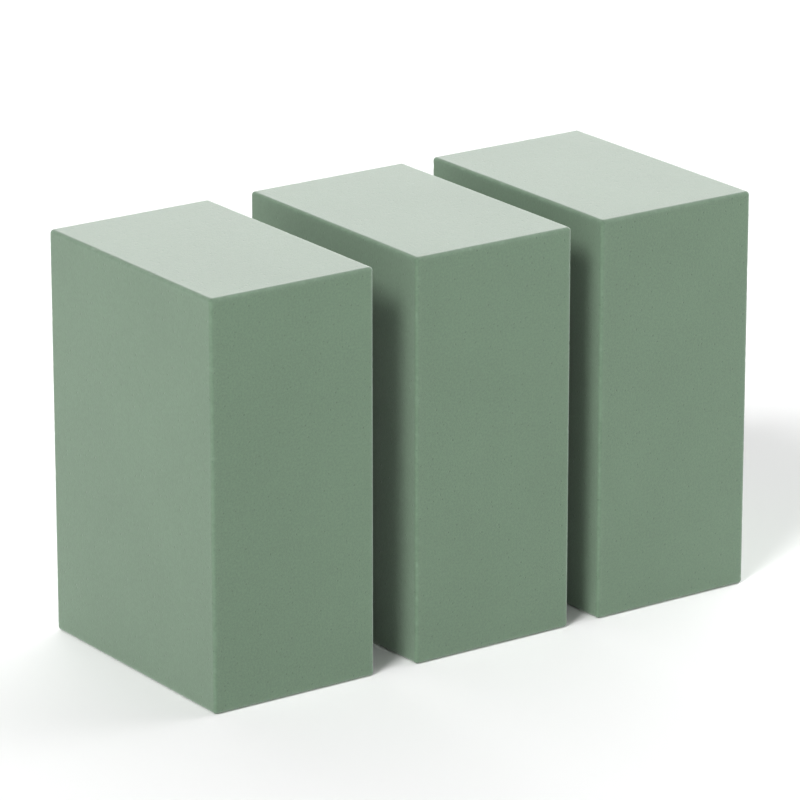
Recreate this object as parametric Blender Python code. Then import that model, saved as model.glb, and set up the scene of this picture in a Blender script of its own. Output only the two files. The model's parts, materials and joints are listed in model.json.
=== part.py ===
"""Three blocks of floral foam, standing on end in a straight row with clear gaps between them.

Units are metres and +Z is up. The row runs along +X, the blocks stand on the plane Z = 0, and the
origin is the centre of the row's footprint. Nothing joins the blocks to each other.
"""

import bmesh
import bpy
from mathutils import Matrix, Vector

# One block, as it stands.
BRICK_THICKNESS = 0.071  # along the row, X
BRICK_WIDTH = 0.110  # across the row, Y
BRICK_HEIGHT = 0.159  # Z
EDGE_RADIUS = 0.0014  # the rounding that the cutting wire leaves on every edge
EDGE_SEGMENTS = 4

# The row, from -X to +X: each block's name, and the clear gap between it and the block before it.
ROW = (
    ("brick_left", 0.0),
    ("brick_middle", 0.019),
    ("brick_right", 0.014),
)
ROW_LENGTH = len(ROW) * BRICK_THICKNESS + sum(gap for _, gap in ROW)

# Dry phenolic foam: a soft grey green, fully matt.
FOAM_COLOUR = (0.235, 0.330, 0.240, 1.0)
FOAM_ROUGHNESS = 0.9


def clear_scene():
    for old in list(bpy.data.objects):
        bpy.data.objects.remove(old, do_unlink=True)


def foam_material(name):
    material = bpy.data.materials.new(name)
    material.use_nodes = True
    shader = material.node_tree.nodes["Principled BSDF"]
    shader.inputs["Base Color"].default_value = FOAM_COLOUR
    shader.inputs["Roughness"].default_value = FOAM_ROUGHNESS
    shader.inputs["Metallic"].default_value = 0.0
    material.diffuse_color = FOAM_COLOUR
    return material


def block_mesh(name):
    """A box with its origin at the centre of its base, so that it stands on Z = 0."""
    size = Vector((BRICK_THICKNESS, BRICK_WIDTH, BRICK_HEIGHT))
    raised = Matrix.Translation((0.0, 0.0, BRICK_HEIGHT / 2))
    shape = bmesh.new()
    bmesh.ops.create_cube(shape, size=1.0, matrix=raised @ Matrix.Diagonal(size).to_4x4())
    mesh = bpy.data.meshes.new(name)
    shape.to_mesh(mesh)
    shape.free()
    mesh.shade_smooth()
    return mesh


def round_edges(brick):
    bevel = brick.modifiers.new("edge_rounding", "BEVEL")
    bevel.width = EDGE_RADIUS
    bevel.segments = EDGE_SEGMENTS
    bevel.harden_normals = True


def foam_brick(name, centre_x, parent):
    brick = bpy.data.objects.new(name, block_mesh(name))
    bpy.context.collection.objects.link(brick)
    brick.data.materials.append(foam_material(name + "_foam"))
    brick.location.x = centre_x
    brick.parent = parent
    round_edges(brick)


def brick_row():
    row = bpy.data.objects.new("brick_row", None)
    bpy.context.collection.objects.link(row)
    start_x = -ROW_LENGTH / 2
    for name, gap_before in ROW:
        start_x += gap_before
        foam_brick(name, start_x + BRICK_THICKNESS / 2, row)
        start_x += BRICK_THICKNESS


clear_scene()
brick_row()
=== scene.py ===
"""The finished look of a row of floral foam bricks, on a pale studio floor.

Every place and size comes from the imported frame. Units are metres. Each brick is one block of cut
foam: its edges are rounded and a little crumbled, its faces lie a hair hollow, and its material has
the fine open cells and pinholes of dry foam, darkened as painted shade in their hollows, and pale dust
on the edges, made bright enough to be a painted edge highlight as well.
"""

import json
import math

import bpy
import numpy as np
from mathutils import Matrix, Vector, noise


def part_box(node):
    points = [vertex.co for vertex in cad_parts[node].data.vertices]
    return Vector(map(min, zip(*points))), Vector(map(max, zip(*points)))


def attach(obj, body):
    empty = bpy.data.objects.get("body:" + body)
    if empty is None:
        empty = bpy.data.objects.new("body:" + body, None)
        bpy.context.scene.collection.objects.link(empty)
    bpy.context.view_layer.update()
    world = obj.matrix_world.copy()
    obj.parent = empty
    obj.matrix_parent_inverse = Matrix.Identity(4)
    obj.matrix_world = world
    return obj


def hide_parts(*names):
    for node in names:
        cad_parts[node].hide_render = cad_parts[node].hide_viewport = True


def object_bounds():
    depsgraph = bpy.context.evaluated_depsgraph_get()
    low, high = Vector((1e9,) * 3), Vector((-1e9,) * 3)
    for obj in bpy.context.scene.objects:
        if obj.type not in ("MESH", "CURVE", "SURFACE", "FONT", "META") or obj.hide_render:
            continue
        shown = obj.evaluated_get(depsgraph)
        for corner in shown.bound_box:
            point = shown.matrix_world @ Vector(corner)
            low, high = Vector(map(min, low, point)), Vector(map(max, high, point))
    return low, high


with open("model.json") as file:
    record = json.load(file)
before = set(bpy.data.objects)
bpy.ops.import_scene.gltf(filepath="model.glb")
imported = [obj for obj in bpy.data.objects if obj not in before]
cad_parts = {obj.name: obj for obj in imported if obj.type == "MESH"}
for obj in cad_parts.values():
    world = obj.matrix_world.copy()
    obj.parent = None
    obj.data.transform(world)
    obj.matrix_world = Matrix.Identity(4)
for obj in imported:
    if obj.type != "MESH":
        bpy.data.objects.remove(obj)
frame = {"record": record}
cad_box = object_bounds()

MM = 0.001

# The cut block and the grid on its skin.
EDGE_RADIUS = 1.5 * MM
ARC_STEPS = 4  # grid steps in each half of an edge's quarter round
EDGE_ZONE = 3.0 * MM  # beside each edge, where the grid stays fine
EDGE_STEP = 0.6 * MM
FACE_STEP = 1.05 * MM

# How far the surface lies below the plane it was cut to.
HOLLOW_DEPTH = 0.12 * MM
HOLLOW_SIZE = 45 * MM
WIRE_MARK_DEPTH = 0.010 * MM
WIRE_MARK_SIZE = 3.5 * MM
WIRE_MARK_STRETCH = 50  # how much longer than wide a mark is, along the brick's height
CRUMB_DEPTH = 0.20 * MM
CRUMB_SIZE = 2.4 * MM
SMALL_CRUMB_SIZE = CRUMB_SIZE / 2.3
SMALL_CRUMB_SHARE = 0.5
CRUMB_START = 0.25  # noise above this value takes a crumb out
# Width of the worn edge: its crumbs, and its pale dust, which is also a painted edge highlight.
WEAR_AND_HIGHLIGHT_WIDTH = 1.3 * MM
EDGE_WEAR_AND_HIGHLIGHT = 0.55  # worn-edge dust and painted edge highlight where no crumb is missing
HOLLOW_SEED, WIRE_MARK_SEED, CRUMB_SEED, SMALL_CRUMB_SEED = range(1, 5)
SEED_STEPS = (13.7, 7.3, 3.1)

# Dry foam: its colours and gloss, the sizes of its patterns, and how far each changes the colour.
FOAM_COLOUR = (0.118, 0.193, 0.122)
# Pale dust on worn edges, made bright enough to be a painted edge highlight as well.
DUST_AND_HIGHLIGHT_COLOUR = (0.36, 0.48, 0.38)
DUST_AND_HIGHLIGHT_SHARE = (0.13, 0.27)
SHEEN_WEIGHT = 0.72
SHEEN_ROUGHNESS = 0.45
SPECULAR_LEVEL = 0.35
ROUGHNESS = (0.70, 0.82)
CELL_SIZE = 0.42 * MM
CELL_WALL = (0.0, 0.62)  # distance from a cell's centre, in cells, at which its wall starts and is full
# Darker cell centres: painted shade in the hollows of the open cells.
CELL_SHADE_VALUE = (0.90, 1.04)
PINHOLE_SPACING = 3.2 * MM
PINHOLE_RIM = (0.05, 0.16)  # in spacings, where a pinhole's side starts and ends
# Darker pinholes: painted shade in the holes.
PINHOLE_SHADE_VALUE = (0.80, 1.0)
SPECKLE_SIZE = 0.9 * MM
SPECKLE_VALUE = (0.93, 1.07)
BLOTCH_SIZE = 3.0 * MM
BLOTCH_VALUE = (0.97, 1.03)
MOTTLE_SIZE = 38.0 * MM
MOTTLE_VALUE = (0.97, 1.03)
NOISE_RANGE = (0.3, 0.7)  # most of a noise texture's values lie in here
NOISE_DETAIL = 2.0
BLOTCH_DETAIL = 3.0
DUST_AND_HIGHLIGHT_RANGE = (0.35, 0.65)
BUMP_DEPTH = 0.12 * MM
BUMP_STRENGTH = 0.45
CELL_HEIGHT = 0.6
SPECKLE_HEIGHT = 0.5
PINHOLE_HEIGHT = 1.2

# Camera: where it stands from the middle of the CAD box.
CAMERA_AZIMUTH = math.radians(-35.08)
CAMERA_ELEVATION = math.radians(18.10)
CAMERA_DISTANCE = 2.0438
CAMERA_RIGHT = -0.0015
CAMERA_UP = 0.0039
CLIP_END = 100.0
LENS = 241.16  # mm

# Light: one soft key, even fill, a white horizon all round, and a large bright backdrop on one side.
KEY_TRAVEL = Vector((1.0, 0.44, -0.95))
KEY_STRENGTH = 2.40
KEY_ANGLE = math.radians(20)
FILL_STRENGTH = 0.25
HORIZON_STRENGTH = 0.80
HORIZON_FADE = (0.10, 0.22)  # sine of the elevation, where it starts to fade and is gone
BACKDROP_STRENGTH = 4.4
BACKDROP_FADE = (0.40, 0.72)
BACKDROP_SIDE = (0.86, 0.51, 0.0)  # level direction towards the backdrop
BACKDROP_SPREAD = (0.25, 0.65)  # cosine of the angle from that direction, where it starts and is full
WHITE = (1, 1, 1, 1)
FLOOR_COLOUR = (0.96, 0.96, 0.96)
FLOOR_ROUGHNESS = 0.9
FLOOR_HALF = 40.0

# A Mix node has sockets for each kind of data. These are its colour ones.
MIX_COLOUR_A = 6
MIX_COLOUR_B = 7
MIX_COLOUR_RESULT = 2


def grid_lines(length):
    """Places of the grid lines along one side: close together round both edges, even between."""
    turn = np.linspace(0, math.pi / 4, ARC_STEPS + 1)[1:]
    arc = EDGE_RADIUS * (1 - np.tan(turn[::-1]))
    zone_end = EDGE_RADIUS + EDGE_ZONE
    zone = np.linspace(EDGE_RADIUS, zone_end, round(EDGE_ZONE / EDGE_STEP) + 1)[:-1]
    start = np.concatenate([arc, zone])
    face = np.linspace(zone_end, length - zone_end, round((length - 2 * zone_end) / FACE_STEP) + 1)
    return np.concatenate([start, face, length - start[::-1]])


def box_skin(size):
    """Points and outward quads of the skin of a box that runs from 0 to size."""
    lines = [grid_lines(side) for side in size]
    counts = [len(line) for line in lines]
    index = np.indices(counts)
    ends = np.array(counts).reshape(3, 1, 1, 1) - 1
    skin = ((index == 0) | (index == ends)).any(axis=0)
    number = np.full(counts, -1)
    number[skin] = np.arange(skin.sum())
    points = np.stack([lines[axis][index[axis][skin]] for axis in range(3)], axis=1)
    quads = []
    for axis in range(3):
        for end in (0, -1):
            sheet = np.take(number, end, axis=axis)
            corners = (sheet[:-1, :-1], sheet[1:, :-1], sheet[1:, 1:], sheet[:-1, 1:])
            face = np.stack(corners, axis=-1).reshape(-1, 4)
            faces_out = (end == -1) != (axis == 1)
            quads.append(face if faces_out else face[:, ::-1])
    return points, np.concatenate(quads)


def noise_at(points, size, seed):
    """Smooth noise from -1 to 1 at each point, with features about as wide as size."""
    shift = Vector([seed * step for step in SEED_STEPS])
    return np.array([noise.noise(Vector(point) / size + shift) for point in points])


def brick_mesh(name, low, high):
    """A closed block from low to high, with worn round edges, and their dust level stored on its points;
    that dust is also a painted edge highlight.
    """
    low, high = np.array(low), np.array(high)
    size = high - low
    points, quads = box_skin(size)
    to_faces = np.sort(np.minimum(points, size - points), axis=1)
    to_edge = to_faces[:, 1]
    core = np.clip(points, EDGE_RADIUS, size - EDGE_RADIUS)
    normals = points - core
    normals /= np.linalg.norm(normals, axis=1, keepdims=True)
    points = core + EDGE_RADIUS * normals + low

    edge = np.exp(-((to_edge / WEAR_AND_HIGHLIGHT_WIDTH) ** 2))
    hollow = 0.5 + 0.5 * noise_at(points, HOLLOW_SIZE, HOLLOW_SEED)
    stretched = points * (1, 1, 1 / WIRE_MARK_STRETCH)
    marks = 0.5 + 0.5 * noise_at(stretched, WIRE_MARK_SIZE, WIRE_MARK_SEED)
    crumbs = noise_at(points, CRUMB_SIZE, CRUMB_SEED)
    crumbs += SMALL_CRUMB_SHARE * noise_at(points, SMALL_CRUMB_SIZE, SMALL_CRUMB_SEED)
    crumbs = np.clip(crumbs - CRUMB_START, 0, 1)
    depth = HOLLOW_DEPTH * hollow * (1 - edge) + WIRE_MARK_DEPTH * marks
    depth += CRUMB_DEPTH * crumbs * edge
    points -= normals * depth[:, None]

    mesh = bpy.data.meshes.new(name)
    mesh.from_pydata(points.tolist(), [], quads.tolist())
    # Edge dust level on the points: worn edges plus a painted edge highlight.
    wear_and_highlight = mesh.attributes.new("wear_and_highlight", "FLOAT", "POINT")
    wear_and_highlight.data.foreach_set("value", (edge * (EDGE_WEAR_AND_HIGHLIGHT + crumbs)).astype(np.float32))
    mesh.shade_smooth()
    mesh.update()
    return mesh


class Nodes:
    """A short way to write a node tree."""

    def __init__(self, tree):
        self.tree = tree

    def feed(self, socket, value):
        """Links a socket's value, or sets a plain one."""
        if isinstance(value, bpy.types.NodeSocket):
            self.tree.links.new(value, socket)
        else:
            socket.default_value = value

    def add(self, kind, settings=None, **inputs):
        node = self.tree.nodes.new(kind)
        for key, value in (settings or {}).items():
            setattr(node, key, value)
        for key, value in inputs.items():
            self.feed(node.inputs[key], value)
        return node

    def math(self, operation, *values):
        node = self.add("ShaderNodeMath", {"operation": operation})
        for socket, value in zip(node.inputs, values):
            self.feed(socket, value)
        return node.outputs[0]

    def mapped(self, value, window, result, smooth=False):
        """Maps window's low and high to result's, and holds steady outside it."""
        settings = {"interpolation_type": "SMOOTHSTEP"} if smooth else {}
        node = self.add("ShaderNodeMapRange", settings, Value=value)
        limits = {"From Min": window[0], "From Max": window[1], "To Min": result[0], "To Max": result[1]}
        for key, limit in limits.items():
            self.feed(node.inputs[key], limit)
        return node.outputs["Result"]

    def noise(self, place, size, detail):
        node = self.add("ShaderNodeTexNoise", Vector=place, Scale=1 / size, Detail=detail)
        return node.outputs["Fac"]

    def cells(self, place, size):
        """Distance from the nearest cell centre, in cells."""
        node = self.add("ShaderNodeTexVoronoi", Vector=place, Scale=1 / size)
        return node.outputs["Distance"]


def foam_material():
    """Dry cut foam: fine open cells and pinholes, darkened as painted shade in their hollows, a soft
    mottle, and pale dust on worn edges that is also a painted edge highlight.
    """
    material = bpy.data.materials.new("dry_floral_foam")
    material.use_nodes = True
    tree = material.node_tree
    nodes = Nodes(tree)
    shader = tree.nodes["Principled BSDF"]
    place = nodes.add("ShaderNodeTexCoord").outputs["Object"]

    mottle = nodes.noise(place, MOTTLE_SIZE, NOISE_DETAIL)
    blotch = nodes.noise(place, BLOTCH_SIZE, BLOTCH_DETAIL)
    speckle = nodes.noise(place, SPECKLE_SIZE, NOISE_DETAIL)
    cell_wall = nodes.mapped(nodes.cells(place, CELL_SIZE), CELL_WALL, (0, 1), smooth=True)
    solid = nodes.mapped(nodes.cells(place, PINHOLE_SPACING), PINHOLE_RIM, (0, 1), smooth=True)

    value = nodes.mapped(mottle, NOISE_RANGE, MOTTLE_VALUE)
    value = nodes.math("MULTIPLY", value, nodes.mapped(blotch, NOISE_RANGE, BLOTCH_VALUE))
    value = nodes.math("MULTIPLY", value, nodes.mapped(speckle, NOISE_RANGE, SPECKLE_VALUE))
    # Darker cell centres are painted shade in the open cells' hollows.
    value = nodes.math("MULTIPLY", value, nodes.mapped(cell_wall, (0, 1), CELL_SHADE_VALUE))
    # Darker pinholes are painted shade in the holes.
    value = nodes.math("MULTIPLY", value, nodes.mapped(solid, (0, 1), PINHOLE_SHADE_VALUE))
    foam = nodes.add("ShaderNodeHueSaturation", Color=(*FOAM_COLOUR, 1), Value=value)

    # Pale dust on the edges, bright enough to be a painted edge highlight too.
    wear_and_highlight = nodes.add("ShaderNodeAttribute", {"attribute_name": "wear_and_highlight"}).outputs["Fac"]
    dust_and_highlight = nodes.math("MULTIPLY", wear_and_highlight, nodes.mapped(blotch, DUST_AND_HIGHLIGHT_RANGE, DUST_AND_HIGHLIGHT_SHARE))
    mix = nodes.add("ShaderNodeMix", {"data_type": "RGBA"}, Factor=dust_and_highlight)
    nodes.feed(mix.inputs[MIX_COLOUR_A], foam.outputs["Color"])
    nodes.feed(mix.inputs[MIX_COLOUR_B], (*DUST_AND_HIGHLIGHT_COLOUR, 1))
    nodes.feed(shader.inputs["Base Color"], mix.outputs[MIX_COLOUR_RESULT])

    walls = nodes.math("MULTIPLY", cell_wall, CELL_HEIGHT)
    height = nodes.math("ADD", walls, nodes.math("MULTIPLY", speckle, SPECKLE_HEIGHT))
    height = nodes.math("ADD", height, nodes.math("MULTIPLY", solid, PINHOLE_HEIGHT))
    bump = nodes.add("ShaderNodeBump", Height=height, Strength=BUMP_STRENGTH, Distance=BUMP_DEPTH)
    nodes.feed(shader.inputs["Normal"], bump.outputs["Normal"])
    nodes.feed(shader.inputs["Roughness"], nodes.mapped(blotch, NOISE_RANGE, ROUGHNESS))
    shader.inputs["Specular IOR Level"].default_value = SPECULAR_LEVEL
    shader.inputs["Sheen Weight"].default_value = SHEEN_WEIGHT
    shader.inputs["Sheen Roughness"].default_value = SHEEN_ROUGHNESS
    return material


def add_object(name, data):
    thing = bpy.data.objects.new(name, data)
    bpy.context.scene.collection.objects.link(thing)
    return thing


def make_bricks():
    foam = foam_material()
    for body, nodes in frame["record"]["behaviour"]["bodies"].items():
        for node in nodes:
            low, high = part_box(node)
            name = node + "_foam"
            piece = add_object(name, brick_mesh(name, low, high))
            piece.data.materials.append(foam)
            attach(piece, body)
            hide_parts(node)


def make_floor():
    mesh = bpy.data.meshes.new("floor")
    signs = ((-1, -1), (1, -1), (1, 1), (-1, 1))
    corners = [(x * FLOOR_HALF, y * FLOOR_HALF, 0.0) for x, y in signs]
    mesh.from_pydata(corners, [], [(0, 1, 2, 3)])
    floor = add_object("floor", mesh)
    material = bpy.data.materials.new("floor")
    material.use_nodes = True
    shader = material.node_tree.nodes["Principled BSDF"]
    shader.inputs["Base Color"].default_value = (*FLOOR_COLOUR, 1)
    shader.inputs["Roughness"].default_value = FLOOR_ROUGHNESS
    mesh.materials.append(material)


def make_key():
    lamp = bpy.data.lights.new("key", "SUN")
    lamp.energy = KEY_STRENGTH
    lamp.angle = KEY_ANGLE
    key = add_object("key", lamp)
    key.rotation_mode = "QUATERNION"
    key.rotation_quaternion = KEY_TRAVEL.to_track_quat("-Z", "Y")


def make_sky():
    """White light from all round: even fill, a brighter horizon, and the backdrop."""
    world = bpy.data.worlds.new("studio")
    world.use_nodes = True
    nodes = Nodes(world.node_tree)
    background = world.node_tree.nodes["Background"]
    sky = nodes.add("ShaderNodeTexCoord").outputs["Generated"]
    height = nodes.add("ShaderNodeSeparateXYZ", Vector=sky).outputs["Z"]
    side = nodes.add("ShaderNodeVectorMath", {"operation": "DOT_PRODUCT"})
    nodes.feed(side.inputs[0], sky)
    nodes.feed(side.inputs[1], BACKDROP_SIDE)
    horizon = nodes.mapped(height, HORIZON_FADE, (HORIZON_STRENGTH, 0), smooth=True)
    low = nodes.mapped(height, BACKDROP_FADE, (BACKDROP_STRENGTH, 0), smooth=True)
    spread = nodes.mapped(side.outputs["Value"], BACKDROP_SPREAD, (0, 1), smooth=True)
    backdrop = nodes.math("MULTIPLY", low, spread)
    glow = nodes.math("ADD", nodes.math("ADD", horizon, backdrop), FILL_STRENGTH)
    nodes.feed(background.inputs["Strength"], glow)
    nodes.feed(background.inputs["Color"], WHITE)
    bpy.context.scene.world = world
    bpy.context.scene.view_settings.view_transform = "Standard"


def make_camera():
    low, high = cad_box
    turn_cos, turn_sin = math.cos(CAMERA_AZIMUTH), math.sin(CAMERA_AZIMUTH)
    tilt_cos, tilt_sin = math.cos(CAMERA_ELEVATION), math.sin(CAMERA_ELEVATION)
    back = Vector((turn_sin * tilt_cos, -turn_cos * tilt_cos, tilt_sin))
    right = Vector((turn_cos, turn_sin, 0))
    up = back.cross(right)
    lens = bpy.data.cameras.new("camera")
    lens.lens = LENS
    lens.clip_end = CLIP_END
    camera = add_object("camera", lens)
    camera.matrix_world = Matrix((right, up, back)).transposed().to_4x4()
    middle = (low + high) / 2
    camera.location = middle + back * CAMERA_DISTANCE + right * CAMERA_RIGHT + up * CAMERA_UP
    bpy.context.scene.camera = camera


make_camera()
make_bricks()
make_floor()
make_key()
make_sky()
